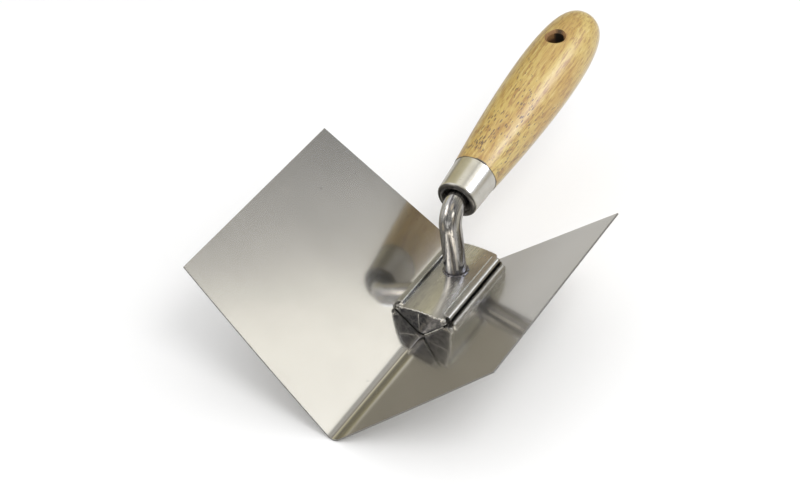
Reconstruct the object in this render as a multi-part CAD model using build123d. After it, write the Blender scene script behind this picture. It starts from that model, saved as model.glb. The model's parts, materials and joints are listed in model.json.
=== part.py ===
from build123d import *
import os
from math import asin, cos, degrees, radians, sin, sqrt, tan

# Inside corner trowel: a V-bent stainless blade, a folded bracket, a bent steel shank and a turned wood handle.
#
# The row frame is in millimetres. The origin is the middle of the blade's outer corner line. +Y runs along that
# line towards the handle, +X is to the right and +Z points up the middle of the V. The tool is symmetric about
# X = 0, except that the seam between the saddle's end tabs sits a little to the left.

# Blade: one spring-stainless sheet with one bend.
BLADE_LENGTH = 127.0  # along the bend
WING_WIDTH = 94.0  # from the inside corner to the free edge
WING_TAPER = 9.0  # how far each end edge sets back over the width of the wing
OPENING = 100.0  # relaxed angle between the wings, in degrees
BLADE_SHEET = 0.7
BEND_RADIUS = 4.0  # inside radius
WING_CORNER_RADIUS = 0.8

# Saddle: a V-shaped sheet lying in the blade. Its long edges are hemmed over the top plate, and end tabs fold up.
BRACKET_SHEET = 1.2
BRACKET_FRONT = 9.5
BRACKET_BACK = 59.2
SADDLE_REACH = 17.0  # how far up each wing the hem starts
SADDLE_SIDE_END = 16.4  # top of the sides at the two ends, where there is no hem
HEM_SETBACK = 2.6  # the hems stop short of both ends of the bracket
HEM_EDGE_X = 10.2  # where the folded edge ends on the plate
TAB_SEAM_X = -1.0
TAB_SEAM_GAP = 0.3
TAB_SEAM_BOTTOM = 2.4
TAB_FOLD_RADIUS = 1.1
TAB_TO_PLATE_GAP = 0.1

# Top plate: an arched sheet held by the hems.
PLATE_HALF_WIDTH = 11.5
PLATE_CROWN_Z = 13.8
PLATE_ARCH_RADIUS = 49.0
PLATE_CORNER_RADIUS = 1.6
PLATE_OVERHANG = 0.3  # past the end tabs

# Spot welds between the saddle and the blade.
SPOT_RADIUS = 2.2
SPOT_REACH = 9.5  # distance up the wing
SPOT_INTO_BLADE = 0.35
SPOT_INTO_SADDLE = 0.5
SPOTS_PER_WING = 3
SPOT_PITCH = 15.5

# Shank: a round rod welded on the plate and bent back into the handle.
ROD_RADIUS = 5.0
SHANK_BASE_Y = 40.8
SHANK_LEAN = 5.0  # forward lean of the upright, in degrees
SHANK_BEND_RADIUS = 10.0  # of its centre line
ROD_END_STATION = 9.0
TANG_RADIUS = 3.6
TANG_END_STATION = 62.0
TANG_POINT = 6.0
WELD_REACH = 1.2  # how far the weld bead spreads on the plate
WELD_HEIGHT = 1.6
WELD_ROOT = 1.0  # how far the bead's outline starts inside the rod, before the rod is cut out of it

# Handle axis: it lies in the plane X = 0. Stations are distances along it from this point.
HANDLE_AXIS_Y = 51.5
HANDLE_AXIS_Z = 50.2
HANDLE_PITCH = 8.5  # degrees above the horizontal

# Ferrule: a drawn cup with a turned-in mouth.
FERRULE_SHEET = 0.8
FERRULE_FRONT = -6.9
FERRULE_BACK = 10.6
FERRULE_BACK_RADIUS = 10.3
MOUTH_BEND = 1.1  # radius of the mouth's edge, at the middle of the sheet
MOUTH_FLAT = 0.4
LIP_BEND = 0.6
FERRULE_SLOPE = 2.9  # taper of its wall, in degrees

# Handle: turned hardwood with a neck that fills the ferrule.
NECK_FRONT = -2.0
NECK_CLEARANCE = 0.02
SHOULDER_RADIUS = 10.5
SHOULDER_GAP = 0.05  # between the ferrule's edge and the handle's shoulder
BELLY_STATION = 77.0
BELLY_RADIUS = 14.5
HANDLE_END = 120.7
SWELL_POWER = 1.67  # how late the grip swells towards the belly
END_POWER = 2.4
END_BLUNTNESS = 3.6
BORE_CLEARANCE = 0.02
HANG_HOLE_STATION = 92.0
HANG_HOLE_RADIUS = 4.0
HANG_MOUTH_RADIUS = 5.3
HANG_MOUTH_DEPTH = 2.0

HALF = radians(OPENING / 2)
PITCH = radians(HANDLE_PITCH)
BEND_CENTRE_Z = BEND_RADIUS + BLADE_SHEET
CORNER_Z = BEND_CENTRE_Z - BEND_RADIUS / sin(HALF)  # where the wings' inner faces would meet
BEND_TANGENT = BEND_RADIUS / tan(HALF)  # from there to where each wing turns flat
BRACKET_MIDDLE = (BRACKET_FRONT + BRACKET_BACK) / 2
HANDLE_PLANE = Plane(
    origin=(0, HANDLE_AXIS_Y, HANDLE_AXIS_Z),
    x_dir=(1, 0, 0),
    z_dir=(0, cos(PITCH), sin(PITCH)),
)


def on_wing(reach, height):
    """(x, z) on the right wing: that far up from the inside corner and that high above the inner face."""
    x = reach * sin(HALF) - height * cos(HALF)
    z = CORNER_Z + reach * cos(HALF) + height * sin(HALF)
    return x, z


def bent_sheet(start, heading, moves, thickness):
    """Cross-section of a bent sheet, as a face in the plane Y = 0.

    The middle of the sheet starts at (x, z) and runs along the heading, in degrees from +X towards +Z.
    A move is a flat's length, or a bend's (radius, angle), where a positive angle turns to the left.
    """

    def point(x, z, angle, side):
        reach = side * thickness / 2
        return Vector(x - reach * sin(radians(angle)), 0, z + reach * cos(radians(angle)))

    x, z = start
    left, right = [], []
    for move in moves:
        if isinstance(move, tuple):
            radius, angle = move
            sign = 1 if angle > 0 else -1
            centre_x = x - sign * radius * sin(radians(heading))
            centre_z = z + sign * radius * cos(radians(heading))
            stops = []
            for share in (0, 0.5, 1):
                turned = heading + share * angle
                stop_x = centre_x + sign * radius * sin(radians(turned))
                stop_z = centre_z - sign * radius * cos(radians(turned))
                stops.append((stop_x, stop_z, turned))
            left.append(ThreePointArc(*[point(*stop, 1) for stop in stops]))
            right.append(ThreePointArc(*[point(*stop, -1) for stop in stops]))
            x, z, heading = stops[-1]
        else:
            end_x = x + move * cos(radians(heading))
            end_z = z + move * sin(radians(heading))
            left.append(Line(point(x, z, heading, 1), point(end_x, end_z, heading, 1)))
            right.append(Line(point(x, z, heading, -1), point(end_x, end_z, heading, -1)))
            x, z = end_x, end_z
    caps = [Line(left[0] @ 0, right[0] @ 0), Line(left[-1] @ 1, right[-1] @ 1)]
    return make_face(left + right + caps)


def section(x, z):
    """A point of a cross-section, in the plane Y = 0."""
    return Vector(x, 0, z)


def along_y(face, start, end):
    """A cross-section in the plane Y = 0, extruded from start to end."""
    return Pos(0, start, 0) * extrude(face, amount=end - start, dir=(0, 1, 0))


def both_sides(shape):
    """A right-hand shape together with its mirror image."""
    return shape + mirror(shape, about=Plane.YZ)


def wing_plane():
    """Plane of the right wing's inner face: local x runs up the wing, local z away from the metal."""
    up_wing = (sin(HALF), 0, cos(HALF))
    normal = (-cos(HALF), 0, sin(HALF))
    return Plane(origin=(0, 0, CORNER_Z), x_dir=up_wing, z_dir=normal)


def plate_top(x):
    """Height of the top plate's upper face."""
    return PLATE_CROWN_Z - PLATE_ARCH_RADIUS + sqrt(PLATE_ARCH_RADIUS**2 - x**2)


def spot_welds():
    """Fused nuggets, half in the blade and half in the saddle."""
    spot = Cylinder(
        SPOT_RADIUS,
        SPOT_INTO_BLADE + SPOT_INTO_SADDLE,
        align=(Align.CENTER, Align.CENTER, Align.MIN),
    )
    nuggets = Part()
    for number in range(SPOTS_PER_WING):
        y = BRACKET_MIDDLE + (number - (SPOTS_PER_WING - 1) / 2) * SPOT_PITCH
        place = wing_plane() * Pos(SPOT_REACH, y, -SPOT_INTO_BLADE)
        nuggets += both_sides(place * spot)
    return nuggets


def blade(spots):
    """The V-bent sheet. Its end edges set back towards the free edges of the wings."""
    bend_middle = BEND_RADIUS + BLADE_SHEET / 2
    half_section = bent_sheet(
        (0, BEND_CENTRE_Z - bend_middle),
        0,
        [(bend_middle, 90 - OPENING / 2), WING_WIDTH - BEND_TANGENT],
        BLADE_SHEET,
    )
    wing = along_y(half_section, -BLADE_LENGTH / 2, BLADE_LENGTH / 2)
    beyond = 1.2
    offcut = Polyline(
        (0, BLADE_LENGTH / 2),
        (WING_WIDTH * beyond, BLADE_LENGTH / 2 - WING_TAPER * beyond),
        (WING_WIDTH * beyond, BLADE_LENGTH),
        (0, BLADE_LENGTH),
        close=True,
    )
    cutter = extrude(wing_plane() * make_face(offcut), amount=3 * BLADE_SHEET, both=True)
    wing -= cutter
    wing -= mirror(cutter, about=Plane.XZ)
    corners = wing.edges().filter_by(lambda edge: abs(edge.length - BLADE_SHEET) < 0.01)
    wing = fillet(corners.sort_by(Axis.X)[-2:], WING_CORNER_RADIUS)
    return both_sides(wing) - spots


def saddle_half(hemmed):
    """Right half of the saddle's cross-section, with or without its hem."""
    fold = BEND_RADIUS - BRACKET_SHEET / 2
    start = (0, BEND_CENTRE_Z - fold)
    to_side = (fold, 90 - OPENING / 2)
    if not hemmed:
        return bent_sheet(start, 0, [to_side, SADDLE_SIDE_END - BEND_TANGENT], BRACKET_SHEET)
    # The hem bends until its inner face lies on the plate. The bend's centre is as far from the side
    # as from the plate, which gives its inside radius.
    slope = asin(HEM_EDGE_X / PLATE_ARCH_RADIUS)
    foot_x, foot_z = on_wing(SADDLE_REACH, BRACKET_SHEET)
    gap = (HEM_EDGE_X - foot_x) * sin(slope) + (plate_top(HEM_EDGE_X) - foot_z) * cos(slope)
    inside = gap / (1 - cos(HALF) * sin(slope) + sin(HALF) * cos(slope))
    bend = inside + BRACKET_SHEET / 2
    centre_x, _ = on_wing(SADDLE_REACH, BRACKET_SHEET + inside)
    flange = (centre_x + bend * sin(slope) - HEM_EDGE_X) / cos(slope)
    hem = (bend, 90 + OPENING / 2 - degrees(slope))
    return bent_sheet(
        start, 0, [to_side, SADDLE_REACH - BEND_TANGENT, hem, flange], BRACKET_SHEET
    )


def end_tab():
    """The tab that closes one end under the plate: two triangles folded up from the sides, meeting at a seam.

    It lies just behind the plane Y = 0 and its fold is rounded along both wings.
    """
    inside_x, inside_z = on_wing(SADDLE_SIDE_END, 0)
    tangent_x, tangent_z = on_wing(BEND_TANGENT, 0)
    under = BRACKET_SHEET + TAB_TO_PLATE_GAP
    outline = [
        Line(section(tangent_x, tangent_z), section(inside_x, inside_z)),
        Line(section(inside_x, inside_z), section(inside_x, plate_top(inside_x) - under)),
        ThreePointArc(
            section(inside_x, plate_top(inside_x) - under),
            section(0, PLATE_CROWN_Z - under),
            section(-inside_x, plate_top(inside_x) - under),
        ),
        Line(section(-inside_x, plate_top(inside_x) - under), section(-inside_x, inside_z)),
        Line(section(-inside_x, inside_z), section(-tangent_x, tangent_z)),
        ThreePointArc(
            section(-tangent_x, tangent_z),
            section(0, BEND_CENTRE_Z - BEND_RADIUS),
            section(tangent_x, tangent_z),
        ),
    ]
    tab = along_y(make_face(outline), 0, BRACKET_SHEET)
    fold = [
        edge
        for edge in tab.edges()
        if abs(edge.center().Y) < 0.01 and edge.center().Z < inside_z - 0.5
    ]
    tab = fillet(fold, TAB_FOLD_RADIUS)
    seam = Pos(TAB_SEAM_X, 0, TAB_SEAM_BOTTOM) * Box(
        TAB_SEAM_GAP,
        4 * BRACKET_SHEET,
        PLATE_CROWN_Z,
        align=(Align.CENTER, Align.CENTER, Align.MIN),
    )
    return tab - seam


def saddle(spots):
    """V-shaped sheet lying in the blade, hemmed over the plate's long edges and closed by a tab at each end."""
    inner_front = BRACKET_FRONT + BRACKET_SHEET
    inner_back = BRACKET_BACK - BRACKET_SHEET
    sides = along_y(saddle_half(hemmed=False), inner_front, inner_back)
    hems = along_y(saddle_half(hemmed=True), BRACKET_FRONT + HEM_SETBACK, BRACKET_BACK - HEM_SETBACK)
    front_tab = Pos(0, BRACKET_FRONT, 0) * end_tab()
    back_tab = mirror(front_tab, about=Plane.XZ.offset(-BRACKET_MIDDLE))
    return both_sides(sides + hems) + front_tab + back_tab - spots


def top_plate():
    """Arched sheet that carries the shank."""
    edge_z = plate_top(PLATE_HALF_WIDTH)
    edge = asin(PLATE_HALF_WIDTH / PLATE_ARCH_RADIUS)
    start = (
        PLATE_HALF_WIDTH - BRACKET_SHEET / 2 * sin(edge),
        edge_z - BRACKET_SHEET / 2 * cos(edge),
    )
    arch = (PLATE_ARCH_RADIUS - BRACKET_SHEET / 2, 2 * degrees(edge))
    face = bent_sheet(start, 180 - degrees(edge), [arch], BRACKET_SHEET)
    plate = along_y(face, BRACKET_FRONT - PLATE_OVERHANG, BRACKET_BACK + PLATE_OVERHANG)
    corners = plate.edges().filter_by(lambda line: abs(line.length - BRACKET_SHEET) < 0.01)
    return fillet(corners, PLATE_CORNER_RADIUS)


def on_handle(outline):
    """An outline of (radius, station) points turned about the handle axis."""
    turned = revolve(Plane.XZ * make_face(outline), Axis.Z)
    return HANDLE_PLANE.location * turned


def arch_body():
    """Everything under the plate's upper face, for ending the shank and its weld on that face."""
    arch = Plane.XZ * Pos(0, PLATE_CROWN_Z - PLATE_ARCH_RADIUS) * Circle(PLATE_ARCH_RADIUS)
    return along_y(arch.face(), BRACKET_FRONT, BRACKET_BACK)


def shank_lines():
    """(foot, direction up the shank, direction along the handle, corner where those two lines meet)."""
    lean = radians(SHANK_LEAN)
    foot = Vector(0, SHANK_BASE_Y, PLATE_CROWN_Z)
    up = Vector(0, -sin(lean), cos(lean))
    along = Vector(0, cos(PITCH), sin(PITCH))
    to_axis = Vector(0, HANDLE_AXIS_Y, HANDLE_AXIS_Z) - foot
    climb = (to_axis.Z * along.Y - to_axis.Y * along.Z) / (up.Z * along.Y - up.Y * along.Z)
    return foot, up, along, foot + up * climb


def shank():
    """Rod from the plate up to the handle axis, then a slimmer pointed tang inside the handle."""
    foot, up, along, corner = shank_lines()
    half_turn = radians(90 - HANDLE_PITCH + SHANK_LEAN) / 2
    tangent = SHANK_BEND_RADIUS * tan(half_turn)
    to_middle = (along - up).normalized() * SHANK_BEND_RADIUS * (1 / cos(half_turn) - 1)
    below_plate = foot - up * BRACKET_SHEET
    rod_end = HANDLE_PLANE.from_local_coords(Vector(0, 0, ROD_END_STATION))
    path = Wire(
        [
            Line(below_plate, corner - up * tangent),
            ThreePointArc(corner - up * tangent, corner + to_middle, corner + along * tangent),
            Line(corner + along * tangent, rod_end),
        ]
    )
    profile = Plane(origin=below_plate, x_dir=(1, 0, 0), z_dir=up) * Circle(ROD_RADIUS)
    rod = sweep(profile, path=path) - arch_body()
    tang = Polyline(
        (0, ROD_END_STATION - 1),
        (TANG_RADIUS, ROD_END_STATION - 1),
        (TANG_RADIUS, TANG_END_STATION - TANG_POINT),
        (TANG_RADIUS / 3, TANG_END_STATION),
        (0, TANG_END_STATION),
        close=True,
    )
    return rod + on_handle(tang)


def shank_weld(rod):
    """Bead that runs round the foot of the shank."""
    foot, up, _, _ = shank_lines()
    bead = Polyline(
        (ROD_RADIUS - WELD_ROOT, -WELD_HEIGHT),
        (ROD_RADIUS + 2 * WELD_REACH, -WELD_HEIGHT),
        (ROD_RADIUS + WELD_REACH, 0),
        (ROD_RADIUS + WELD_REACH / 2, WELD_HEIGHT / 2),
        (ROD_RADIUS, WELD_HEIGHT),
        (ROD_RADIUS - WELD_ROOT, WELD_HEIGHT),
        close=True,
    )
    ring = revolve(Plane.XZ * make_face(bead), Axis.Z)
    return Plane(origin=foot, x_dir=(1, 0, 0), z_dir=up).location * ring - arch_body() - rod


def ferrule():
    """Drawn cup whose mouth turns in round the shank and ends in a small lip."""
    wall = FERRULE_BACK - FERRULE_FRONT - MOUTH_BEND - FERRULE_SHEET / 2
    start = (FERRULE_BACK_RADIUS - FERRULE_SHEET / 2, FERRULE_BACK)
    moves = [wall, (MOUTH_BEND, -100), MOUTH_FLAT, (LIP_BEND, -80)]
    face = bent_sheet(start, -90 - FERRULE_SLOPE, moves, FERRULE_SHEET)
    return HANDLE_PLANE.location * revolve(face, Axis.Z)


def neck_radius(along):
    """Radius of the handle's neck at a station, just inside the ferrule's wall."""
    back = FERRULE_BACK_RADIUS - FERRULE_SHEET / cos(radians(FERRULE_SLOPE)) - NECK_CLEARANCE
    return back - (FERRULE_BACK - along) * tan(radians(FERRULE_SLOPE))


def grip_radius(along):
    """Radius of the turned grip at a station: it swells to the belly, then closes in a blunt round end."""
    if along < BELLY_STATION:
        share = (BELLY_STATION - along) / (BELLY_STATION - FERRULE_BACK - SHOULDER_GAP)
        return BELLY_RADIUS - (BELLY_RADIUS - SHOULDER_RADIUS) * share**SWELL_POWER
    share = (along - BELLY_STATION) / (HANDLE_END - BELLY_STATION)
    return BELLY_RADIUS * (1 - share**END_POWER) ** (1 / END_BLUNTNESS)


def handle():
    """Turned hardwood, bored for the shank and cross-drilled for hanging."""
    shoulder = FERRULE_BACK + SHOULDER_GAP
    stations = [shoulder + step * (BELLY_STATION - shoulder) / 4 for step in range(5)]
    end_shares = [0.35, 0.6, 0.78, 0.9, 0.965]
    stations += [BELLY_STATION + share * (HANDLE_END - BELLY_STATION) for share in end_shares]
    grip = [(grip_radius(along), along) for along in stations]
    outline = [
        Polyline(
            (0, HANDLE_END),
            (0, NECK_FRONT),
            (neck_radius(NECK_FRONT), NECK_FRONT),
            (neck_radius(shoulder), shoulder),
            (SHOULDER_RADIUS, shoulder),
        ),
        Spline(*grip, (0, HANDLE_END), tangents=[(0.1, 1), (-1, 0)]),
    ]
    wood = on_handle(outline)
    bore = Polyline(
        (0, NECK_FRONT - 1),
        (ROD_RADIUS + BORE_CLEARANCE, NECK_FRONT - 1),
        (ROD_RADIUS + BORE_CLEARANCE, ROD_END_STATION),
        (TANG_RADIUS + BORE_CLEARANCE, ROD_END_STATION),
        (TANG_RADIUS + BORE_CLEARANCE, TANG_END_STATION + BORE_CLEARANCE),
        (0, TANG_END_STATION + BORE_CLEARANCE),
        close=True,
    )
    hole = Rot(90, 0, 0) * Cylinder(HANG_HOLE_RADIUS, 3 * BELLY_RADIUS)
    surface = grip_radius(HANG_HOLE_STATION)
    flare = (HANG_MOUTH_RADIUS - HANG_HOLE_RADIUS) / HANG_MOUTH_DEPTH
    mouth = Rot(-90, 0, 0) * Pos(0, 0, surface - HANG_MOUTH_DEPTH) * Cone(
        HANG_HOLE_RADIUS,
        HANG_MOUTH_RADIUS + flare * HANG_MOUTH_DEPTH,
        2 * HANG_MOUTH_DEPTH,
        align=(Align.CENTER, Align.CENTER, Align.MIN),
    )
    cut = hole + mouth + mirror(mouth, about=Plane.XZ)
    return wood - on_handle(bore) - HANDLE_PLANE.location * Pos(0, 0, HANG_HOLE_STATION) * cut


def main():
    spots = spot_welds()
    rod = shank()
    nodes = {
        "blade": blade(spots),
        "saddle": saddle(spots),
        "spot_welds": spots,
        "top_plate": top_plate(),
        "shank": rod,
        "shank_weld": shank_weld(rod),
        "ferrule": ferrule(),
        "handle": handle(),
    }
    os.makedirs("parts", exist_ok=True)
    for name, shape in nodes.items():
        export_step(shape, f"parts/{name}.step")


if __name__ == "__main__":
    main()
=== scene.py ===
import json
import math

import bpy
from mathutils import Euler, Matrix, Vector, noise


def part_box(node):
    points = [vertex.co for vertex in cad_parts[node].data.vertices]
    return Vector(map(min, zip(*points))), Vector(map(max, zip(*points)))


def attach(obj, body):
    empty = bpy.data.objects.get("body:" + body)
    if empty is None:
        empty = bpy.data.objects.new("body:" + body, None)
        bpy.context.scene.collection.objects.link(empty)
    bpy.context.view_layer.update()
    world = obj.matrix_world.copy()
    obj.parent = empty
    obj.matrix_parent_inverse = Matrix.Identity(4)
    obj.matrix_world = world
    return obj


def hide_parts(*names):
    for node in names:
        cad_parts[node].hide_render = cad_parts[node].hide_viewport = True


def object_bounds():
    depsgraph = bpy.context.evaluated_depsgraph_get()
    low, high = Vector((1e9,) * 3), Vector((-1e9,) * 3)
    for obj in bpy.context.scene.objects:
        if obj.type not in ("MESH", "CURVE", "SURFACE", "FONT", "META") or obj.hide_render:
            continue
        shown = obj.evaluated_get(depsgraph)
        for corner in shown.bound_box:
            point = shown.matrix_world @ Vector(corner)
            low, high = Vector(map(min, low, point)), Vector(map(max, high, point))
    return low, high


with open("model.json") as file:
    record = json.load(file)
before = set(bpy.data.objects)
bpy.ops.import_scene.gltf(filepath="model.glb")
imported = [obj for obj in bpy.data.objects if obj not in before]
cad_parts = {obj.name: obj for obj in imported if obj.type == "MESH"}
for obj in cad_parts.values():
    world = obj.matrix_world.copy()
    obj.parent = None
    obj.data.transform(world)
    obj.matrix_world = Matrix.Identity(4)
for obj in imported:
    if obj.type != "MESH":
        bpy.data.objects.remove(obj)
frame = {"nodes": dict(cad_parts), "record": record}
cad_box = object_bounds()
nodes = frame["nodes"]
mounts = {mount["name"]: mount for mount in frame["record"]["mounts"]}

# ---------------------------------------------------------------- sizes, in metres and degrees

HALF_OPENING = math.radians(50.0)  # each wing from the middle plane
BLADE_SHEET = 0.0007
BLADE_TAPER = 0.009  # how far each end edge sets back over the width of a wing
BEND_LENGTH = 0.0060  # sheet from the middle of the bend to where a wing turns flat
FRONT_BOW = 0.0005  # how far the front edges stand proud in the middle
WAVINESS = 0.00005
WAVE_LENGTH = 0.045
EDGE_ROUNDING = 0.0001
WING_LEAN = math.radians(6.0)  # turn of the left wing's shading normals towards straight up
LEAN_START, LEAN_FULL = -0.0002, -0.0032  # x over which that turn sets in
LEFT_WING_NORMAL = (math.cos(HALF_OPENING), 0.0, math.sin(HALF_OPENING))
LEFT_WING_UPWARD = (-math.sin(HALF_OPENING), 0.0, math.cos(HALF_OPENING))
BEND_SHADE_START = (0.0002, 0.0012)  # x where the painted shade strip right of the bend fades in
BEND_SHADE_END = (0.0030, 0.0065)  # x where it fades out

BRACKET_SHEET = 0.0012
PLATE_ARCH_RADIUS = 0.049
HEM_EDGE_X = 0.0102  # where the hems' edges end on the plate
HEM_END = 0.0031  # from an end of the plate to where the hems start
TAB_FADE = 0.0004  # over which a tab's dark tone ends at the hems
SEAM_X = -0.001  # where the saddle's two front tabs meet
SEAM_BOTTOM = 0.0024
PLATE_TEAR_HALF = 0.0096  # half the length of the plate's torn ends
SEAT_START, SEAT_LENGTH = 0.0012, 0.0102  # x along the right tab's bottom edge
SEAT_DEPTH = 0.00035

FRONT_BURR = 0.00036  # thickness of the burr on the plate's front end
BACK_BURR = 0.0002
BURR_SUNK = 0.00015  # how far these two lie under the plate's upper face
SEAM_BURR = 0.00017
HEM_EDGE_HIGHLIGHT = 0.00022
SEAT_BURR = 0.00022
RAGGED_LENGTH = 0.0006  # over which a burr wanders
CORNER_BEAD = (0.0012, 0.0008, 0.0009)  # radii along x, y and z
HEM_END_BEAD = (0.0008, 0.0006, 0.0007)
CORNER_BURR = (0.0011, 0.0005, 0.0006)

SHANK_LEAN = math.radians(5.0)  # forward lean of the upright
SHANK_BEND_RADIUS = 0.010
TANG_RADIUS = 0.0036
TANG_POINT = 0.006
ROD_DENTS = 0.00003
ROD_LINES = 0.00004  # height of the draw lines
FOOT_SHADE_LENGTH = 0.009  # of the rod next to the weld that is painted in shade
HIGHLIGHT_TURN = 0.1325  # middle of the painted highlight stripe, as a share of the turn from +X
HIGHLIGHT_HALF_WIDTH = (0.011, 0.020)  # where its side starts and ends to fade, in the same share
HIGHLIGHT_TOP = (0.020, 0.024)  # where it starts and ends to fade along the rod

WELD_REACH = 0.0009  # of the bead out from the rod
WELD_HEIGHT = 0.0009
WELD_RIPPLE = 0.0002
WELD_LUMPS = 0.00025
WELD_RIPPLES = 17  # round the bead
WELD_INSIDE = 0.0003  # of the bead hidden in the rod
WELD_SUNK = 0.0002  # of the bead hidden in the plate

HOLE_MOUTH_RADIUS = 0.0053
HOLE_SHADOW = (0.0080, 0.0108)  # distance from the axis over which the hole's wall gets light
WORN_PORES = (0.055, 0.14)  # y over which the pores get smaller, from the ferrule to the end
GAP_SHADE_LENGTH = (0.0006, 0.0011)  # where the painted shade of the gap behind the ferrule starts and ends to fade
GAP_SHADE_SIDE = (0.42, -0.13, 0.90)  # the side of the handle that has it

plate_low, plate_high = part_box("top_plate")
saddle_low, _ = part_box("saddle")
shank_low, shank_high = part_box("shank")
blade_low, blade_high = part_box("blade")

# The hanging hole's mount gives the handle's axis: the hole crosses it at a right angle.
hole_place = Vector(mounts["hang_hole"]["pos_m"])
hole_axis = Vector(mounts["hang_hole"]["axis"])
handle_axis = Vector((0.0, hole_axis.z, -hole_axis.y))
handle_pitch = math.atan2(handle_axis.z, handle_axis.y)

ferrule_low, ferrule_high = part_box("ferrule")
FERRULE_END = Vector((0.0, ferrule_high.y, ferrule_low.z)).dot(handle_axis)
RIM_LENGTH = 0.0012  # of the ferrule's rim that is painted dark as shade
RIM_FADE = 0.0006
RIM_BACK = Vector((0.0, ferrule_low.y, ferrule_high.z)).dot(handle_axis) + RIM_LENGTH

# ---------------------------------------------------------------- floor, lamp, camera and what metal reflects

FLOOR_SIDE = 12.0
FLOOR_GAP = 0.0002  # between the part and the floor

KEY_PLACE = Vector((0.5, -0.3, 0.9))
KEY_AIM = Vector((0.0, 0.05, 0.03))
KEY_SIDE = 0.35
KEY_POWER = 3.0  # watts

CAMERA_PLACE = Vector((0.3471, -0.5308, 0.5572))
CAMERA_AIM = Vector((0.0, -0.0021, 0.0559))
CAMERA_ROLL = math.radians(-4.68)
CAMERA_LENS = 87.96  # mm
SENSOR_WIDTH = 36.0  # mm

# directions are (azimuth from +X towards +Y, elevation) in degrees, and so are all turns here
PANEL_EDGE = (55, 41)  # a direction on the bright panel's soft straight edge
PANEL_TILT = 7  # of the edge from upright
PANEL_FADE = (0.0, 2.8)  # the turn past the edge over which the panel fades
PANEL_DUSK = (1.6, 6.2)  # the turn over which its surroundings darken
PANEL_CENTRE = (51, 45)
PANEL_REACH = (14, 26)  # turn from the centre at which the panel starts and ends to fade
DOME_CENTRE = (-30, 50)  # the brightest side of the dome that lights the rest

# broad glows behind the panel, then lamps in front of it
# azimuth, elevation, turns at which the glow starts and ends to fade, colour
GLOWS = (
    (152, 18, 10, 34, (0.53, 0.47, 0.27)),
    (120, 62, 14, 34, (0.55, 0.50, 0.31)),
    (128, 26, 6, 20, (0.30, 0.28, 0.23)),
    (100, 75, 10, 26, (0.95, 0.92, 0.82)),
    (86, 49, 7, 18, (0.34, 0.31, 0.25)),
    (143, 5, 4, 12, (0.22, 0.20, 0.17)),
    (105, 46, 2, 8, (1.0, 0.97, 0.87)),
    (135, 22, 3, 10, (0.14, 0.14, 0.13)),
    (-150, 45, 12, 40, (0.9, 0.9, 0.9)),
)
LAMPS = (
    (72, 47, 4, 10, (0.52, 0.50, 0.46)),
    (33, 35, 5, 13, (5.6, 5.9, 7.0)),
    (-76, 50, 6, 15, (0.8, 0.7, 0.55)),
    (-131, 30, 8, 18, (3.2, 3.0, 2.7)),
    (-50, 22, 5, 12, (2.2, 2.1, 1.9)),
    (-42, 42, 6, 13, (0.06, 0.06, 0.075)),
)

# ---------------------------------------------------------------- node graphs


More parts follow.
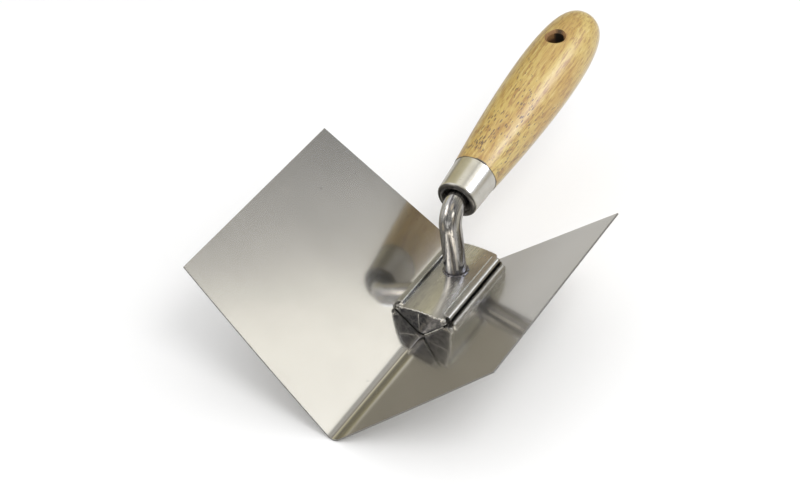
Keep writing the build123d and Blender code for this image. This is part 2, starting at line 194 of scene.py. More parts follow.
class Graph:
    """A node tree built in code. An input is a number, a tuple or another node's output socket."""

    def __init__(self, owner):
        owner.use_nodes = True
        self.tree = owner.node_tree
        self.tree.nodes.clear()

    def add(self, kind, inputs=(), **settings):
        node = self.tree.nodes.new("ShaderNode" + kind)
        for key, value in settings.items():
            setattr(node, key, value)
        for key, value in dict(inputs).items():
            self.feed(node.inputs[key], value)
        return node

    def feed(self, socket, value):
        if isinstance(value, bpy.types.NodeSocket):
            self.tree.links.new(value, socket)
        elif socket.type == "RGBA" and len(value) == 3:
            socket.default_value = (*value, 1.0)
        else:
            socket.default_value = value

    def math(self, operation, a, b=0.0):
        return self.add("Math", {0: a, 1: b}, operation=operation).outputs[0]

    def vector(self, operation, a, b=(0.0, 0.0, 0.0)):
        node = self.add("VectorMath", {0: a, 1: b}, operation=operation)
        return node.outputs["Value" if operation in ("DOT_PRODUCT", "LENGTH") else "Vector"]

    def span(self, value, low, high, to_low=0.0, to_high=1.0):
        """The value's place between low and high, eased and clamped, as a number from to_low to to_high."""
        inputs = {"Value": value, "From Min": low, "From Max": high, "To Min": to_low, "To Max": to_high}
        return self.add("MapRange", inputs, interpolation_type="SMOOTHSTEP", clamp=True).outputs[0]

    def mix(self, share, a, b, blend="MIX"):
        node = self.add("Mix", data_type="RGBA", blend_type=blend)
        for socket, value in ((node.inputs[0], share), (node.inputs[6], a), (node.inputs[7], b)):
            self.feed(socket, value)
        return node.outputs[2]

    def axes(self, vector):
        """The x, y and z of a vector."""
        return self.add("SeparateXYZ", {0: vector}).outputs

    def place(self, turn=(0.0, 0.0, 0.0), scale=(1.0, 1.0, 1.0), shift=(0.0, 0.0, 0.0)):
        """Coordinates in metres in the row frame, shifted, turned and scaled."""
        where = self.add("TexCoord").outputs["Object"]
        moved = self.vector("ADD", where, shift)
        turned = self.add("VectorRotate", {"Vector": moved, "Rotation": turn}, rotation_type="EULER_XYZ")
        return self.vector("MULTIPLY", turned.outputs[0], scale)

    def noise(self, where, scale, detail=2.0, roughness=0.5, distortion=0.0):
        inputs = {"Vector": where, "Scale": scale, "Detail": detail, "Roughness": roughness}
        inputs["Distortion"] = distortion
        return self.add("TexNoise", inputs).outputs["Fac"]

    def cells(self, where, scale):
        """Distance to the nearest of many scattered points."""
        return self.add("TexVoronoi", {"Vector": where, "Scale": scale}).outputs["Distance"]

    def bump(self, height, distance, after=None):
        inputs = {"Height": height, "Distance": distance, "Strength": 1.0}
        if after is not None:
            inputs["Normal"] = after
        return self.add("Bump", inputs).outputs[0]

    def crevice(self, reach, low=0.25, high=0.8):
        """1 in the open, down to 0 deep in a crevice that is narrower than the reach."""
        open_share = self.add("AmbientOcclusion", {"Distance": reach}, samples=6).outputs["AO"]
        return self.span(open_share, low, high)

    def soft_edge(self, radius):
        """Normals that round every sharp edge over that radius."""
        return self.add("Bevel", {"Radius": radius}, samples=6).outputs[0]

    def facing(self, direction):
        """The cosine of the angle between the face and a direction."""
        return self.vector("DOT_PRODUCT", self.add("NewGeometry").outputs["True Normal"], tuple(direction))

    def along_handle(self):
        """The place along the handle's axis, in metres."""
        return self.vector("DOT_PRODUCT", self.place(), tuple(handle_axis))

    def edge_on(self):
        """0 where the surface faces the view, up to 1 where it is seen edge-on."""
        return self.add("LayerWeight", {"Blend": 0.5}).outputs["Facing"]

    def mirrored(self):
        """1 for what is seen in a reflection, else 0."""
        return self.add("LightPath").outputs["Is Glossy Ray"]


def new_material(name):
    material = bpy.data.materials.new(name)
    return material, Graph(material)


def principled(graph, **inputs):
    """A Principled surface. Keywords are its inputs, with _ for a space."""
    named = {key.replace("_", " "): value for key, value in inputs.items()}
    return graph.add("BsdfPrincipled", named).outputs[0]


def output(graph, surface):
    graph.add("OutputMaterial", {"Surface": surface})


def metal(graph, tint, roughness, normal, haze=0.15, haze_roughness=0.38):
    """Bare metal: a clear reflection with a share of wide haze over it."""
    clear = principled(graph, Base_Color=tint, Metallic=1.0, Roughness=roughness, Normal=normal)
    hazy = principled(graph, Base_Color=tint, Metallic=1.0, Roughness=haze_roughness, Normal=normal)
    output(graph, graph.add("MixShader", {0: haze, 1: clear, 2: hazy}).outputs[0])


# ---------------------------------------------------------------- materials


def blade_steel():
    """Fine rolled stainless sheet: faint grain along the bend, a cloudy tint, specks and smudges, with
    painted shade in crevices and in a strip right of the bend.
    """
    material, graph = new_material("blade_steel")
    along = graph.place(scale=(1.0, 0.02, 1.0))
    grain = graph.noise(along, 2400.0, detail=3.0)
    clouds = graph.noise(graph.place(), 28.0, detail=4.0, roughness=0.6)
    tone = graph.mix(graph.span(clouds, 0.3, 0.7), (0.655, 0.645, 0.62), (0.69, 0.68, 0.655))
    tone = graph.mix(graph.span(grain, 0.3, 0.7, 0.0, 0.05), tone, (0.45, 0.44, 0.42))
    specks = graph.noise(graph.place(scale=(1.0, 0.7, 1.0)), 420.0, detail=1.0)
    tone = graph.mix(graph.span(specks, 0.78, 0.83, 0.0, 0.25), tone, (0.2, 0.19, 0.19))
    # painted shade: the sheet is painted dark in narrow crevices
    tone = graph.mix(graph.crevice(0.0009, 0.05, 0.6), (0.16, 0.155, 0.15), tone)
    # painted shade: a dark strip is painted along the right side of the bend
    x = graph.axes(graph.place())[0]
    fade_in = graph.span(x, *BEND_SHADE_START)
    fade_out = graph.span(x, *reversed(BEND_SHADE_END))
    painted_shade = graph.math("MULTIPLY", fade_in, fade_out)
    tone = graph.mix(graph.math("MULTIPLY", painted_shade, 0.32), tone, (0.20, 0.185, 0.15))
    rough = graph.math("ADD", graph.span(grain, 0.25, 0.75, -0.012, 0.012), 0.092)
    smudges = graph.noise(graph.place(scale=(1.0, 0.4, 1.0)), 55.0, detail=5.0, roughness=0.7)
    rough = graph.math("ADD", rough, graph.span(smudges, 0.62, 0.75, 0.0, 0.06))
    # the left wing's inner face is shaded as if it lay flatter, which brings its mirror images to the middle
    far_from_bend = graph.span(x, LEAN_START, LEAN_FULL)
    inner = graph.span(graph.facing(LEFT_WING_NORMAL), 0.9, 0.99, 0.0, math.tan(WING_LEAN))
    lean = graph.math("MULTIPLY", inner, far_from_bend)
    push = graph.add("VectorMath", {0: LEFT_WING_UPWARD, 3: lean}, operation="SCALE").outputs[0]
    normal = graph.vector("NORMALIZE", graph.vector("ADD", graph.soft_edge(EDGE_ROUNDING), push))
    metal(graph, tone, rough, normal, haze=0.3, haze_roughness=0.24)
    return material


def sheared_edge():
    """The cut edge of a sheet: darker, rough and finely torn."""
    material, graph = new_material("sheared_edge")
    torn = graph.noise(graph.place(), 1500.0, detail=3.0)
    tone = graph.mix(torn, (0.20, 0.20, 0.20), (0.42, 0.41, 0.39))
    metal(graph, tone, 0.32, graph.bump(torn, 0.00003), haze=0.4, haze_roughness=0.6)
    return material


def bracket_steel():
    """Folded sheet: brushed along the bracket, with painted shade in its folds and crevices, on its
    inward-facing faces and on its front tabs.
    """
    material, graph = new_material("bracket_steel")
    along = graph.place(scale=(1.0, 0.04, 1.0))
    grain = graph.noise(along, 1900.0, detail=3.0)
    lines = graph.noise(along, 420.0, detail=2.0)
    clouds = graph.noise(graph.place(scale=(1.0, 0.35, 1.0)), 120.0, detail=4.0, roughness=0.65)
    tone = graph.mix(graph.span(clouds, 0.3, 0.7), (0.70, 0.70, 0.69), (0.90, 0.90, 0.88))
    tone = graph.mix(graph.span(grain, 0.35, 0.75, 0.0, 0.18), tone, (0.30, 0.295, 0.27))
    x, y, z = graph.axes(graph.place())
    across, ahead, _ = graph.axes(graph.add("NewGeometry").outputs["True Normal"])
    # painted shade: faces turned towards the middle, above the plate's underside, are painted near black,
    # more so towards the back
    inward = graph.math("MULTIPLY", graph.math("SIGN", x), across)
    raised = graph.span(z, plate_low.z, plate_low.z + BRACKET_SHEET / 4)
    inward_shade = graph.math("MULTIPLY", graph.span(inward, -0.9, -0.7, 1.0, 0.0), raised)
    mottle = graph.noise(graph.place(scale=(1.0, 0.5, 1.0)), 700.0, detail=3.0, roughness=0.7)
    tone = graph.mix(graph.span(mottle, 0.55, 0.75, 0.0, 0.4), tone, (0.22, 0.225, 0.24))
    to_back = graph.span(y, plate_low.y, plate_high.y, 0.45, 1.0)
    tone = graph.mix(graph.math("MULTIPLY", inward_shade, to_back), tone, (0.05, 0.05, 0.055))
    # the front tabs are rougher, and painted darker as shade
    between_hems = graph.span(graph.math("ABSOLUTE", x), HEM_EDGE_X - TAB_FADE, HEM_EDGE_X, 1.0, 0.0)
    tab = graph.math("MULTIPLY", graph.span(ahead, -0.95, -0.85, 1.0, 0.0), between_hems)
    tab_shade = graph.math("MULTIPLY", tab, graph.span(mottle, 0.4, 0.6, 1.0, 0.7))
    tone = graph.mix(tab_shade, tone, (0.15, 0.15, 0.17))
    # painted shade: narrow crevices outside the tabs are painted near black
    crevice_shade = graph.math("SUBTRACT", 1.0, graph.crevice(0.0022, 0.15, 0.7))
    crevice_shade = graph.math("MULTIPLY", crevice_shade, graph.math("SUBTRACT", 1.0, tab))
    tone = graph.mix(crevice_shade, tone, (0.04, 0.04, 0.045))
    rough = graph.math("ADD", graph.span(grain, 0.25, 0.75, -0.03, 0.04), 0.21)
    rough = graph.math("ADD", rough, graph.span(clouds, 0.45, 0.7, 0.0, 0.07))
    rough = graph.math("ADD", rough, graph.math("MULTIPLY", tab, 0.14))
    normal = graph.bump(lines, 0.000004, after=graph.soft_edge(0.00035))
    normal = graph.bump(clouds, 0.00004, after=normal)
    metal(graph, tone, rough, normal, haze=0.2)
    return material


def shank_steel():
    """Drawn rod: draw lines along it, pits, painted shade over the length next to the weld and on the left
    edge, and a painted highlight stripe up the front.
    """
    material, graph = new_material("shank_steel")
    around, along, _ = graph.axes(graph.add("TexCoord").outputs["UV"])
    turn = graph.math("MULTIPLY", around, math.tau)
    spot = graph.add("CombineXYZ", {0: graph.math("COSINE", turn), 1: graph.math("SINE", turn), 2: along})
    drawn = graph.vector("MULTIPLY", spot.outputs[0], (1.0, 1.0, 12.0))
    pitted = graph.vector("MULTIPLY", spot.outputs[0], (1.0, 1.0, 130.0))
    lines = graph.noise(drawn, 9.0, detail=4.0, roughness=0.65)
    streaks = graph.noise(drawn, 3.2, detail=3.0)
    pits = graph.noise(pitted, 5.0, detail=3.0, roughness=0.6)
    tone = graph.mix(graph.span(lines, 0.35, 0.7), (0.70, 0.69, 0.67), (0.46, 0.45, 0.46))
    tone = graph.mix(graph.span(streaks, 0.54, 0.64, 0.0, 0.75), tone, (0.12, 0.115, 0.13))
    tone = graph.mix(graph.span(pits, 0.60, 0.70, 0.0, 0.75), tone, (0.10, 0.10, 0.12))
    # painted shade: the rod is painted dark over the length next to the weld
    uneven = graph.math("ADD", along, graph.math("MULTIPLY", lines, 0.002))
    foot_shade = graph.span(uneven, FOOT_SHADE_LENGTH / 6, FOOT_SHADE_LENGTH, 1.0, 0.0)
    tone = graph.mix(graph.math("MULTIPLY", foot_shade, 0.8), tone, (0.10, 0.095, 0.11))
    # painted highlight: a rougher stripe up the front of the upright is painted bright; painted shade: its
    # left edge is painted dark
    aside = graph.math("ABSOLUTE", graph.math("SUBTRACT", around, HIGHLIGHT_TURN))
    above_foot_shade = graph.span(along, FOOT_SHADE_LENGTH / 3, FOOT_SHADE_LENGTH / 2)
    painted_highlight = graph.math("MULTIPLY", graph.span(aside, *reversed(HIGHLIGHT_HALF_WIDTH)), above_foot_shade)
    painted_highlight = graph.math("MULTIPLY", painted_highlight, graph.span(along, *reversed(HIGHLIGHT_TOP)))
    tone = graph.mix(painted_highlight, tone, (0.96, 0.93, 0.87))
    # painted shade: the left side is painted dark where it is seen edge-on
    grazing = graph.span(graph.edge_on(), 0.5, 0.85)
    leftward = graph.span(graph.facing((1.0, 0.0, 0.0)), 0.1, -0.5)
    painted_shade = graph.math("MULTIPLY", graph.math("MULTIPLY", grazing, leftward), 0.7)
    tone = graph.mix(painted_shade, tone, (0.10, 0.095, 0.10))
    rough = graph.math("ADD", graph.span(lines, 0.3, 0.7, -0.03, 0.05), 0.15)
    rough = graph.math("ADD", rough, graph.math("MULTIPLY", painted_highlight, 0.25))
    normal = graph.bump(lines, 0.00003)
    normal = graph.bump(graph.span(pits, 0.60, 0.72), -0.00008, after=normal)
    metal(graph, tone, rough, normal, haze=0.15)
    return material


def weld_metal(name, dark, light, roughness):
    """As-welded or torn metal: mottled, pitted and uneven."""
    material, graph = new_material(name)
    mottle = graph.noise(graph.place(), 900.0, detail=4.0, roughness=0.7)
    fine = graph.noise(graph.place(), 3000.0, detail=2.0)
    tone = graph.mix(graph.span(mottle, 0.35, 0.62), dark, light)
    normal = graph.bump(fine, 0.00004, after=graph.bump(mottle, 0.0001))
    metal(graph, tone, roughness, normal, haze=0.35, haze_roughness=0.5)
    return material


def ferrule_nickel():
    """Satin nickel plate: fine turning marks round the axis, handling scratches and a rim painted dark as
    shade.
    """
    material, graph = new_material("ferrule_nickel")
    turned = graph.place(turn=(-handle_pitch, 0.0, 0.0), scale=(0.05, 1.0, 0.05))
    rings = graph.noise(turned, 1700.0, detail=3.0)
    clouds = graph.noise(graph.place(), 160.0, detail=4.0, roughness=0.6)
    tone = graph.mix(graph.span(clouds, 0.3, 0.7), (0.74, 0.725, 0.68), (0.82, 0.81, 0.77))
    scratches = graph.noise(graph.place(turn=(0.4, 0.3, 0.0), scale=(0.06, 1.0, 1.0)), 900.0, detail=1.0)
    tone = graph.mix(graph.span(scratches, 0.70, 0.76, 0.0, 0.4), tone, (0.45, 0.44, 0.42))
    # painted shade: the turned-in rim is painted dark, and the whole ferrule looks darker where the blade
    # mirrors it
    rim = graph.span(graph.along_handle(), RIM_BACK, RIM_BACK + RIM_FADE, 1.0, 0.0)
    turned_in = graph.span(graph.facing(handle_axis), -0.35, -0.65)
    tone = graph.mix(graph.math("MULTIPLY", rim, turned_in), tone, (0.17, 0.165, 0.16))
    darker = graph.mix(1.0, tone, (0.5, 0.49, 0.48), blend="MULTIPLY")
    tone = graph.mix(graph.mirrored(), tone, darker)
    rough = graph.math("ADD", graph.span(rings, 0.25, 0.75, -0.03, 0.03), 0.22)
    normal = graph.bump(rings, 0.000002, after=graph.soft_edge(0.0002))
    metal(graph, tone, rough, normal, haze=0.3)
    return material


def handle_wood():
    """Varnished golden hardwood: streaks along the axis, short dark pores, brown in the hole."""
    material, graph = new_material("handle_wood")
    turn = (-handle_pitch, 0.0, 0.0)
    stretched = graph.place(turn, (1.0, 0.035, 1.0))
    bands = graph.noise(stretched, 210.0, detail=6.0, roughness=0.65, distortion=0.3)
    stretched = graph.place(turn, (1.0, 0.10, 1.0), shift=(0.3, 0.0, 0.1))
    streaks = graph.noise(stretched, 1150.0, detail=4.0, roughness=0.65)
    patches = graph.noise(graph.place(turn, (1.0, 0.3, 1.0)), 70.0, detail=3.0)
    tone = graph.mix(graph.span(bands, 0.32, 0.68), (0.63, 0.48, 0.135), (0.53, 0.355, 0.07))
    tone = graph.mix(graph.span(patches, 0.38, 0.66, 0.0, 0.7), tone, (0.47, 0.265, 0.04))
    tone = graph.mix(graph.span(streaks, 0.49, 0.60, 0.0, 0.9), tone, (0.35, 0.17, 0.025))
    tone = graph.mix(graph.span(streaks, 0.44, 0.32, 0.0, 0.6), tone, (0.70, 0.57, 0.24))
    pore_size = graph.noise(graph.place(turn, (1.0, 0.25, 1.0), (0.0, 0.2, 0.0)), 110.0, detail=2.0)
    pores = graph.cells(graph.place(turn, (1.0, 0.24, 1.0)), 1120.0)
    from_end = graph.span(graph.axes(graph.place())[1], *WORN_PORES, 0.17, 0.03)
    width = graph.math("ADD", graph.span(pore_size, 0.36, 0.64, -0.02, 0.20), from_end)
    pore = graph.span(graph.math("SUBTRACT", pores, width), -0.06, 0.03, 1.0, 0.0)
    tone = graph.mix(graph.math("MULTIPLY", pore, 0.9), tone, (0.10, 0.04, 0.012))
    # the bored hole shows darker end grain, which gets light only near its mouths
    from_hole = graph.place(shift=tuple(-hole_place))
    along_hole = graph.vector("DOT_PRODUCT", from_hole, tuple(hole_axis))
    three_times = graph.add("CombineXYZ", {0: along_hole, 1: along_hole, 2: along_hole}).outputs[0]
    on_axis = graph.vector("MULTIPLY", three_times, tuple(hole_axis))
    off_axis = graph.vector("LENGTH", graph.vector("SUBTRACT", from_hole, on_axis))
    in_mouth = graph.span(off_axis, 1.06 * HOLE_MOUTH_RADIUS, HOLE_MOUTH_RADIUS)
    across = graph.span(graph.math("ABSOLUTE", graph.facing(hole_axis)), 0.97, 0.9)
    wall = graph.math("MULTIPLY", in_mouth, across)
    end_grain = graph.noise(graph.place(), 1300.0, detail=4.0, roughness=0.7)
    brown = graph.mix(end_grain, (0.44, 0.26, 0.11), (0.16, 0.07, 0.025))
    depth = graph.span(graph.math("ABSOLUTE", along_hole), *reversed(HOLE_SHADOW))
    brown = graph.mix(graph.math("MULTIPLY", depth, 0.85), brown, (0.05, 0.025, 0.015))
    tone = graph.mix(wall, tone, brown)
    # painted shade: a dark gap behind the ferrule, up and a little to the right, is painted on the wood
    gap_shade = graph.span(graph.along_handle(), FERRULE_END + GAP_SHADE_LENGTH[1], FERRULE_END + GAP_SHADE_LENGTH[0])
    gap_shade = graph.math("MULTIPLY", gap_shade, graph.span(graph.facing(GAP_SHADE_SIDE), 0.94, 0.98))
    tone = graph.mix(gap_shade, tone, (0.03, 0.02, 0.015))
    # the end inside the ferrule is never lit
    tone = graph.mix(graph.span(graph.facing(handle_axis), -0.7, -0.9), tone, (0.02, 0.015, 0.01))
    coat = graph.math("SUBTRACT", 1.0, wall)
    # painted highlight: the wood is painted lighter at a grazing view where the varnish glares, more on its
    # right side, and it looks deeper where the metal mirrors it
    painted_glare = graph.span(graph.edge_on(), 0.62, 1.0, 0.0, 0.65)
    rightward = graph.span(graph.facing((1.0, 0.0, 0.0)), -0.8, 0.5, 0.1, 1.0)
    painted_glare = graph.math("MULTIPLY", painted_glare, rightward)
    tone = graph.mix(graph.math("MULTIPLY", painted_glare, coat), tone, (0.93, 0.89, 0.80))
    deeper = graph.mix(0.8, tone, (0.45, 0.42, 0.42), blend="MULTIPLY")
    tone = graph.mix(graph.mirrored(), tone, deeper)
    normal = graph.bump(pore, -0.00006, after=graph.soft_edge(0.0003))
    normal = graph.bump(streaks, 0.00001, after=normal)
    surface = principled(
        graph,
        Base_Color=tone,
        Roughness=0.55,
        Normal=normal,
        Coat_Weight=coat,
        Coat_Roughness=graph.span(patches, 0.3, 0.7, 0.33, 0.42),
        Coat_IOR=2.1,
        Coat_Normal=graph.bump(pore, -0.00003, after=graph.soft_edge(0.0003)),
    )
    output(graph, surface)
    return material


def paint(node, material):
    """Gives a CAD node its material."""
    mesh = nodes[node].data
    mesh.materials.clear()
    mesh.materials.append(material)


# ---------------------------------------------------------------- mesh pieces


def piece(name, points, faces, material, stands_for=None):
    """A smooth mesh piece that rides on the part, and may stand in for a CAD node."""
    mesh = bpy.data.meshes.new(name)
    mesh.from_pydata(points, [], faces)
    mesh.update()
    mesh.polygons.foreach_set("use_smooth", [True] * len(faces))
    mesh.materials.append(material)
    obj = bpy.data.objects.new(name, mesh)
    bpy.context.scene.collection.objects.link(obj)
    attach(obj, "root")
    if stands_for:
        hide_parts(stands_for)
    return obj


def tube(rings):
    """Points and faces of a tube through rings of points, closed round a middle point at each end."""
    count = len(rings[0])
    points = [point for ring in rings for point in ring]
    faces = []
    for row in range(len(rings) - 1):
        for step in range(count):
            after = (step + 1) % count
            low, high = row * count, (row + 1) * count
            faces.append((low + step, low + after, high + after, high + step))
    for row, first in ((0, True), (len(rings) - 1, False)):
        points.append(sum(rings[row], Vector()) / count)
        middle = len(points) - 1
        for step in range(count):
            edge = [row * count + step, row * count + (step + 1) % count]
            faces.append((*reversed(edge), middle) if first else (*edge, middle))
    return points, faces


def ripple(point, size):
    """Smooth noise from -1 to 1 that changes over that size."""
    return noise.noise(Vector(point) / size)


def plate_top(x):
    """Height of the top plate's upper face."""
    return plate_high.z - PLATE_ARCH_RADIUS + math.sqrt(PLATE_ARCH_RADIUS**2 - x**2)


def blade_sheet(surface, edge):
    """The V-bent blade: the bend eases into the wings, and the sheet is very slightly wavy."""
    reach = (blade_high.x - blade_low.x) / 2 / math.sin(HALF_OPENING)
    half_length = (blade_high.y - blade_low.y) / 2
    wing_slope = math.pi / 2 - HALF_OPENING
    bend_steps, wing_steps, rows = 24, 30, 56

    def slope(distance):
        """Slope of the sheet at a distance from the middle of the bend."""
        left = max(0.0, 1 - distance / BEND_LENGTH)
        return wing_slope * (1 - left**3)

    # half of the section's middle line, from the bend's middle outwards
    step = BEND_LENGTH / bend_steps
    x, z = 0.0, BLADE_SHEET / 2
    half = [(x, z, 0.0)]
    for number in range(bend_steps):
        angle = slope((number + 0.5) * step)
        x, z = x + step * math.cos(angle), z + step * math.sin(angle)
        half.append((x, z, slope((number + 1) * step)))
    bent_x, bent_z = x, z
    width = (blade_high.x - BLADE_SHEET / 2 * math.sin(wing_slope) - bent_x) / math.cos(wing_slope)
    for number in range(1, wing_steps + 1):
        far = width * number / wing_steps
        half.append((bent_x + far * math.cos(wing_slope), bent_z + far * math.sin(wing_slope), wing_slope))
    section = [(-x, z, -angle) for x, z, angle in reversed(half[1:])] + half

    points, faces = [], []
    for row in range(rows + 1):
        along = 2 * row / rows - 1
        for x, z, angle in section:
            out = abs(x) / math.sin(HALF_OPENING) / reach
            end = half_length - BLADE_TAPER * out
            if along < 0:
                end += FRONT_BOW * 4 * out * (1 - out)
            y = along * end
            lift = WAVINESS * min(1.0, out * 4) * ripple((x, y, 0.4), WAVE_LENGTH)
            points.append((x - lift * math.sin(angle), y, z + lift * math.cos(angle)))
    count = len(section)
    for row in range(rows):
        for column in range(count - 1):
            start = row * count + column
            faces.append((start, start + 1, start + count + 1, start + count))
    sheet = piece("blade_sheet", points, faces, surface, "blade")
    sheet.data.materials.append(edge)
    solid = sheet.modifiers.new("thickness", "SOLIDIFY")
    solid.thickness = BLADE_SHEET
    solid.offset = 0.0
    solid.use_even_offset = True
    solid.material_offset_rim = 1
    rounding = sheet.modifiers.new("edges", "BEVEL")
    rounding.width = EDGE_ROUNDING
    rounding.segments = 2
    rounding.limit_method = "ANGLE"
    rounding.angle_limit = math.radians(40)
    rounding.harden_normals = True


def shank_path():
    """Stations of the shank from inside the plate to the tang's tip: (place, direction, radius, length)."""
    radius = (shank_high.x - shank_low.x) / 2
    weld_low, weld_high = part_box("shank_weld")
    foot = Vector((0.0, (weld_low.y + weld_high.y) / 2, plate_high.z))
    up = Vector((0.0, -math.sin(SHANK_LEAN), math.cos(SHANK_LEAN)))
    to_axis = hole_place - foot
    square = Vector((0.0, -handle_axis.z, handle_axis.y))
    climb = to_axis.dot(square) / up.dot(square)
    corner = foot + up * climb
    turn = math.acos(up.dot(handle_axis))
    tangent = SHANK_BEND_RADIUS * math.tan(turn / 2)
    inner = (handle_axis - up * up.dot(handle_axis)).normalized()
    bend_start = corner - up * tangent
    centre = bend_start + inner * SHANK_BEND_RADIUS
    rod_end = (ferrule_high.y - corner.y) / handle_axis.y
    tang_end = (shank_high.y - corner.y) / handle_axis.y

    stations = []
    sunk = BRACKET_SHEET / 2
    steps = 36
    for number in range(steps):
        far = -sunk + (climb - tangent + sunk) * number / steps
        stations.append((foot + up * far, up, radius, far))
    length = climb - tangent
    steps = 40
    for number in range(steps):
        angle = turn * number / steps
        place = centre + (up * math.sin(angle) - inner * math.cos(angle)) * SHANK_BEND_RADIUS
        ahead = up * math.cos(angle) + inner * math.sin(angle)
        stations.append((place, ahead, radius, length + SHANK_BEND_RADIUS * angle))
    length += SHANK_BEND_RADIUS * turn
    steps = 30
    for number in range(steps + 1):
        far = tangent + (rod_end - tangent) * number / steps
        stations.append((corner + handle_axis * far, handle_axis, radius, length + far - tangent))
    tang = ((rod_end, TANG_RADIUS), (tang_end - TANG_POINT, TANG_RADIUS), (tang_end, TANG_RADIUS / 3))
    for far, size in tang:
        stations.append((corner + handle_axis * far, handle_axis, size, length + far - tangent))
    return stations


def shank_rod(material):
    """The bent rod with its tang. Its surface is slightly uneven, as drawn and bent bar is."""
    around = 72
    rings, marks = [], []
    for place, ahead, radius, length in shank_path():
        front = Vector((0.0, -ahead.z, ahead.y))
        ring = []
        for step in range(around):
            angle = math.tau * step / around
            out = Vector((1.0, 0.0, 0.0)) * math.cos(angle) + front * math.sin(angle)
            uneven = ROD_DENTS * ripple(place + out * radius, 0.0035)
            uneven += ROD_LINES * ripple(out * radius * 3, 0.004)
            ring.append(place + out * (radius + uneven))
        rings.append(ring)
        marks.append(length)
    points, faces = tube(rings)
    rod = piece("shank_rod", points, faces, material, "shank")
    layer = rod.data.uv_layers.new(name="unrolled")
    for face in rod.data.polygons:
        steps = [rod.data.loops[loop].vertex_index % around for loop in face.loop_indices]
        wraps = max(steps) - min(steps) > 1
        for loop, step in zip(face.loop_indices, steps):
            vertex = rod.data.loops[loop].vertex_index
            row = min(vertex // around, len(marks) - 1)
            share = (step + around if wraps and step == 0 else step) / around
            layer.data[loop].uv = (share, marks[row])


def weld_bead(material):
    """A small rippled bead round the foot of the shank."""
    place, ahead, radius, _ = shank_path()[0]
    foot = place + ahead * (BRACKET_SHEET / 2)
    steps, profile_steps = 120, 10
    rings = []
    for step in range(steps):
        angle = math.tau * step / steps
        out = Vector((math.cos(angle), math.sin(angle), 0.0))
        wobble = ripple(out * 3.0, 0.55) + 0.5 * math.sin(angle * WELD_RIPPLES)
        reach = WELD_REACH + WELD_RIPPLE * wobble
        height = WELD_HEIGHT + WELD_LUMPS * ripple(out * 3.0 + Vector((0, 0, 7)), 0.5)
        ring = []
        for number in range(profile_steps):
            turn = math.tau * number / profile_steps
            away = radius - WELD_INSIDE + (reach + WELD_INSIDE) * (0.5 + 0.5 * math.cos(turn))
            outer_slump = 1.0 if math.cos(turn) < 0 else 0.75
            up = height * (0.5 + 0.5 * math.sin(turn)) * outer_slump - WELD_SUNK
            where = foot + out * away
            ring.append(Vector((where.x, where.y, plate_top(where.x) + up)))
        rings.append(ring)
    points = [point for ring in rings for point in ring]
    faces = []
    for step in range(steps):
        for number in range(profile_steps):
            low, high = step * profile_steps, (step + 1) % steps * profile_steps
            after = (number + 1) % profile_steps
            faces.append((low + number, high + number, high + after, low + after))
    piece("weld_bead", points, faces, material, "shank_weld")


def burr(name, line, size, material, seed, raggedness=0.6):
    """A ragged ridge along a line of points, left by shearing. Its thickness varies along the line."""
    around = 7
    rings = []
    for number, place in enumerate(line):
        ahead = (line[min(number + 1, len(line) - 1)] - line[max(number - 1, 0)]).normalized()
        side = ahead.orthogonal().normalized()
        other = ahead.cross(side)
        shift = Vector([ripple(place + seed * times, RAGGED_LENGTH) for times in (1, -1, 2)])
        thick = size * (1 + raggedness * ripple(place + seed * 3, 0.0007))
        ends = min(1.0, 0.25 + number / 3, 0.25 + (len(line) - 1 - number) / 3)
        ring = []
        for step in range(around):
            angle = math.tau * step / around
            out = side * math.cos(angle) + other * math.sin(angle)
            ring.append(place + shift * size * raggedness + out * thick * ends)
        rings.append(ring)
    points, faces = tube(rings)
    piece(name, points, faces, material)


def lump(name, place, radii, material, seed):
    """A small uneven bead of spatter or burr at a corner."""
    rows, around = 14, 20
    rings = []
    for row in range(1, rows):
        tilt = math.pi * row / rows
        ring = []
        for step in range(around):
            turn = -math.tau * step / around
            out = Vector((math.sin(tilt) * math.cos(turn), math.sin(tilt) * math.sin(turn), math.cos(tilt)))
            swell = 1 + 0.45 * ripple(out + seed, 0.55) + 0.2 * ripple(out - seed, 0.22)
            ring.append(place + Vector((out.x * radii[0], out.y * radii[1], out.z * radii[2])) * swell)
        rings.append(ring)
    points, faces = tube(rings)
    piece(name, points, faces, material)


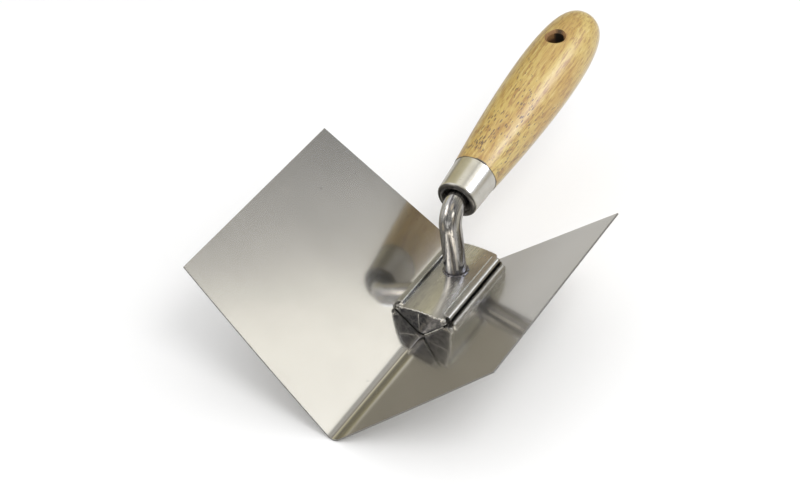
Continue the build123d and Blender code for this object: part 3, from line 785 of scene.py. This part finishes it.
def bracket_burrs(bright, dark):
    """What shearing and folding leave on the bracket: torn edges, a raised seam and corner beads, with a thin
    bright tube along each hem's edge as a painted highlight.
    """
    seed = Vector((0.31, 0.17, 0.23))
    steps = 90
    for end, y, size in (("front", plate_low.y, FRONT_BURR), ("back", plate_high.y, BACK_BURR)):
        xs = [PLATE_TEAR_HALF * (2 * number / steps - 1) for number in range(steps + 1)]
        line = [Vector((x, y, plate_top(x) - BURR_SUNK)) for x in xs]
        burr("plate_burr_" + end, line, size, bright, seed, raggedness=1.1)

    steps = 40
    seam = []
    top = plate_top(SEAM_X) - BRACKET_SHEET
    for number in range(steps + 1):
        z = SEAM_BOTTOM + (top - SEAM_BOTTOM) * number / steps
        seam.append(Vector((SEAM_X + 0.00005, saddle_low.y - 0.00002, z)))
    burr("seam_burr", seam, SEAM_BURR, bright, seed * 2, raggedness=1.1)

    # painted highlight: a thin bright tube runs along each hem's edge
    steps = 120
    start, end = plate_low.y + HEM_END, plate_high.y - HEM_END
    for side, name in ((-1, "left"), (1, "right")):
        x = side * HEM_EDGE_X
        z = plate_top(x) + BRACKET_SHEET
        line = [Vector((x, start + (end - start) * number / steps, z)) for number in range(steps + 1)]
        burr("hem_edge_highlight_" + name, line, HEM_EDGE_HIGHLIGHT, bright, seed * (9 + side), raggedness=0.4)

    steps = 60
    seat = []
    for number in range(steps + 1):
        x = SEAT_START + SEAT_LENGTH * number / steps
        seat.append(Vector((x, saddle_low.y - 0.00005, x / math.tan(HALF_OPENING) - SEAT_DEPTH)))
    burr("seat_burr", seat, SEAT_BURR, bright, seed * 5, raggedness=0.5)

    corner_z = plate_top(plate_high.x) - 0.0002
    # painted highlight: the right corner's bead gets the near-white burr metal, the left one the dark bead
    # metal
    for side, name, bead_metal in ((-1, "left", dark), (1, "right", bright)):
        place = Vector((side * (plate_high.x - 0.0004), plate_low.y + 0.0009, corner_z))
        lump("corner_bead_" + name, place, CORNER_BEAD, bead_metal, seed * (3 + side))
        if side > 0:
            hem_end = place + Vector((0.0004, -0.0008, 0.0011))
            lump("hem_end_burr", hem_end, HEM_END_BEAD, bright, seed * 6)
        tip = place + Vector((-side * 0.0018, -0.0004, 0.0004))
        lump("corner_burr_" + name, tip, CORNER_BURR, bright, seed * (7 + side))


# ---------------------------------------------------------------- stage, light and camera


def heading(azimuth, elevation):
    """Direction that points azimuth degrees from +X towards +Y, and elevation degrees up."""
    a, e = math.radians(azimuth), math.radians(elevation)
    return math.cos(e) * math.cos(a), math.cos(e) * math.sin(a), math.sin(e)


def across_edge(direction, tilt):
    """The direction square across an edge that passes through a direction and tilts from upright."""
    azimuth, elevation = direction
    sideways = Vector(heading(azimuth + 90, 0))
    upwards = Vector(heading(azimuth, elevation + 90))
    return sideways * math.cos(math.radians(tilt)) + upwards * math.sin(math.radians(tilt))


def tent(graph):
    """What the metal reflects: a dim tent with broad glows, a bright panel and a few lamps."""
    towards = graph.vector("NORMALIZE", graph.add("TexCoord").outputs["Generated"])
    _, ahead, _ = graph.axes(towards)
    colour = graph.mix(graph.span(ahead, -0.35, 0.25), (0.22, 0.22, 0.21), (0.44, 0.41, 0.34))
    for glow in GLOWS:
        colour = spread(graph, towards, colour, *glow)
    past_edge = graph.vector("DOT_PRODUCT", towards, across_edge(PANEL_EDGE, PANEL_TILT))
    fade_start, fade_end = (math.sin(math.radians(turn)) for turn in PANEL_FADE)
    dusk_start, dusk_end = (math.sin(math.radians(turn)) for turn in PANEL_DUSK)
    dusk = graph.span(past_edge, dusk_start, dusk_end)
    beyond = graph.mix(dusk, (0.54, 0.525, 0.50), (0.19, 0.195, 0.20))
    panel = graph.mix(graph.span(past_edge, fade_start, fade_end), (1.27, 1.235, 1.125), beyond)
    facing = graph.vector("DOT_PRODUCT", towards, heading(*PANEL_CENTRE))
    start, end = (math.cos(math.radians(turn)) for turn in PANEL_REACH)
    near = graph.span(facing, end, start)
    colour = graph.mix(near, colour, panel)
    for lamp in LAMPS:
        colour = spread(graph, towards, colour, *lamp)
    return colour


def spread(graph, towards, colour, azimuth, elevation, inner, outer, glow):
    """The colour with a round glow over it, which fades between the inner and the outer turn."""
    facing = graph.vector("DOT_PRODUCT", towards, heading(azimuth, elevation))
    low, high = math.cos(math.radians(outer)), math.cos(math.radians(inner))
    return graph.mix(graph.span(facing, low, high), colour, glow)


def studio_world():
    """Reflections see the tent. All else is lit by a plain soft dome, brighter up and to the right."""
    world = bpy.data.worlds.new("studio")
    bpy.context.scene.world = world
    graph = Graph(world)
    towards = graph.vector("NORMALIZE", graph.add("TexCoord").outputs["Generated"])
    facing = graph.vector("DOT_PRODUCT", towards, heading(*DOME_CENTRE))
    dome = graph.mix(graph.span(facing, -0.5, 0.9), (0.40, 0.40, 0.40), (1.15, 1.15, 1.15))
    colour = graph.mix(graph.mirrored(), dome, tent(graph))
    background = graph.add("Background", {"Color": colour, "Strength": 1.0})
    graph.add("OutputWorld", {"Surface": background.outputs[0]})


def key_light():
    """A soft lamp up at the front right, which no reflection shows."""
    light = bpy.data.lights.new("key", "AREA")
    light.shape = "SQUARE"
    light.size = KEY_SIDE
    light.energy = KEY_POWER
    lamp = bpy.data.objects.new("key", light)
    lamp.location = KEY_PLACE
    lamp.rotation_euler = (KEY_AIM - KEY_PLACE).to_track_quat("-Z", "Y").to_euler()
    lamp.visible_glossy = False
    bpy.context.scene.collection.objects.link(lamp)


def floor():
    """A plain pale floor just under the part. Reflections show it darker."""
    material, graph = new_material("floor")
    speckle = graph.noise(graph.place(), 400.0, detail=2.0)
    tone = graph.mix(speckle, (0.955, 0.955, 0.955), (0.965, 0.965, 0.965))
    tone = graph.mix(graph.mirrored(), tone, (0.60, 0.59, 0.57))
    output(graph, principled(graph, Base_Color=tone, Roughness=0.85))
    mesh = bpy.data.meshes.new("floor")
    half = FLOOR_SIDE / 2
    corners = [(-half, -half, 0.0), (half, -half, 0.0), (half, half, 0.0), (-half, half, 0.0)]
    mesh.from_pydata(corners, [], [(0, 1, 2, 3)])
    mesh.materials.append(material)
    plane = bpy.data.objects.new("floor", mesh)
    plane.location.z = cad_box[0][2] - FLOOR_GAP
    bpy.context.scene.collection.objects.link(plane)


def camera():
    """The camera of the reference view."""
    data = bpy.data.cameras.new("camera")
    data.lens = CAMERA_LENS
    data.sensor_width = SENSOR_WIDTH
    eye = bpy.data.objects.new("camera", data)
    eye.location = CAMERA_PLACE
    turn = (CAMERA_AIM - CAMERA_PLACE).to_track_quat("-Z", "Y").to_matrix()
    eye.rotation_euler = (turn @ Euler((0.0, 0.0, CAMERA_ROLL)).to_matrix()).to_euler()
    bpy.context.scene.collection.objects.link(eye)
    bpy.context.scene.camera = eye


# ---------------------------------------------------------------- the scene

steel = blade_steel()
folded = bracket_steel()
# painted highlight: the burrs are real, and their near-white metal is a painted highlight
bright_burr = weld_metal("bright_burr", (0.60, 0.59, 0.57), (0.95, 0.94, 0.91), 0.28)
dark_bead = weld_metal("dark_bead", (0.10, 0.10, 0.11), (0.55, 0.54, 0.52), 0.25)

blade_sheet(steel, sheared_edge())
shank_rod(shank_steel())
weld_bead(weld_metal("weld_metal", (0.08, 0.078, 0.09), (0.34, 0.33, 0.35), 0.26))
bracket_burrs(bright_burr, dark_bead)
paint("spot_welds", steel)
paint("saddle", folded)
paint("top_plate", folded)
paint("ferrule", ferrule_nickel())
paint("handle", handle_wood())

studio_world()
key_light()
floor()
camera()
bpy.context.scene.view_settings.view_transform = "Standard"
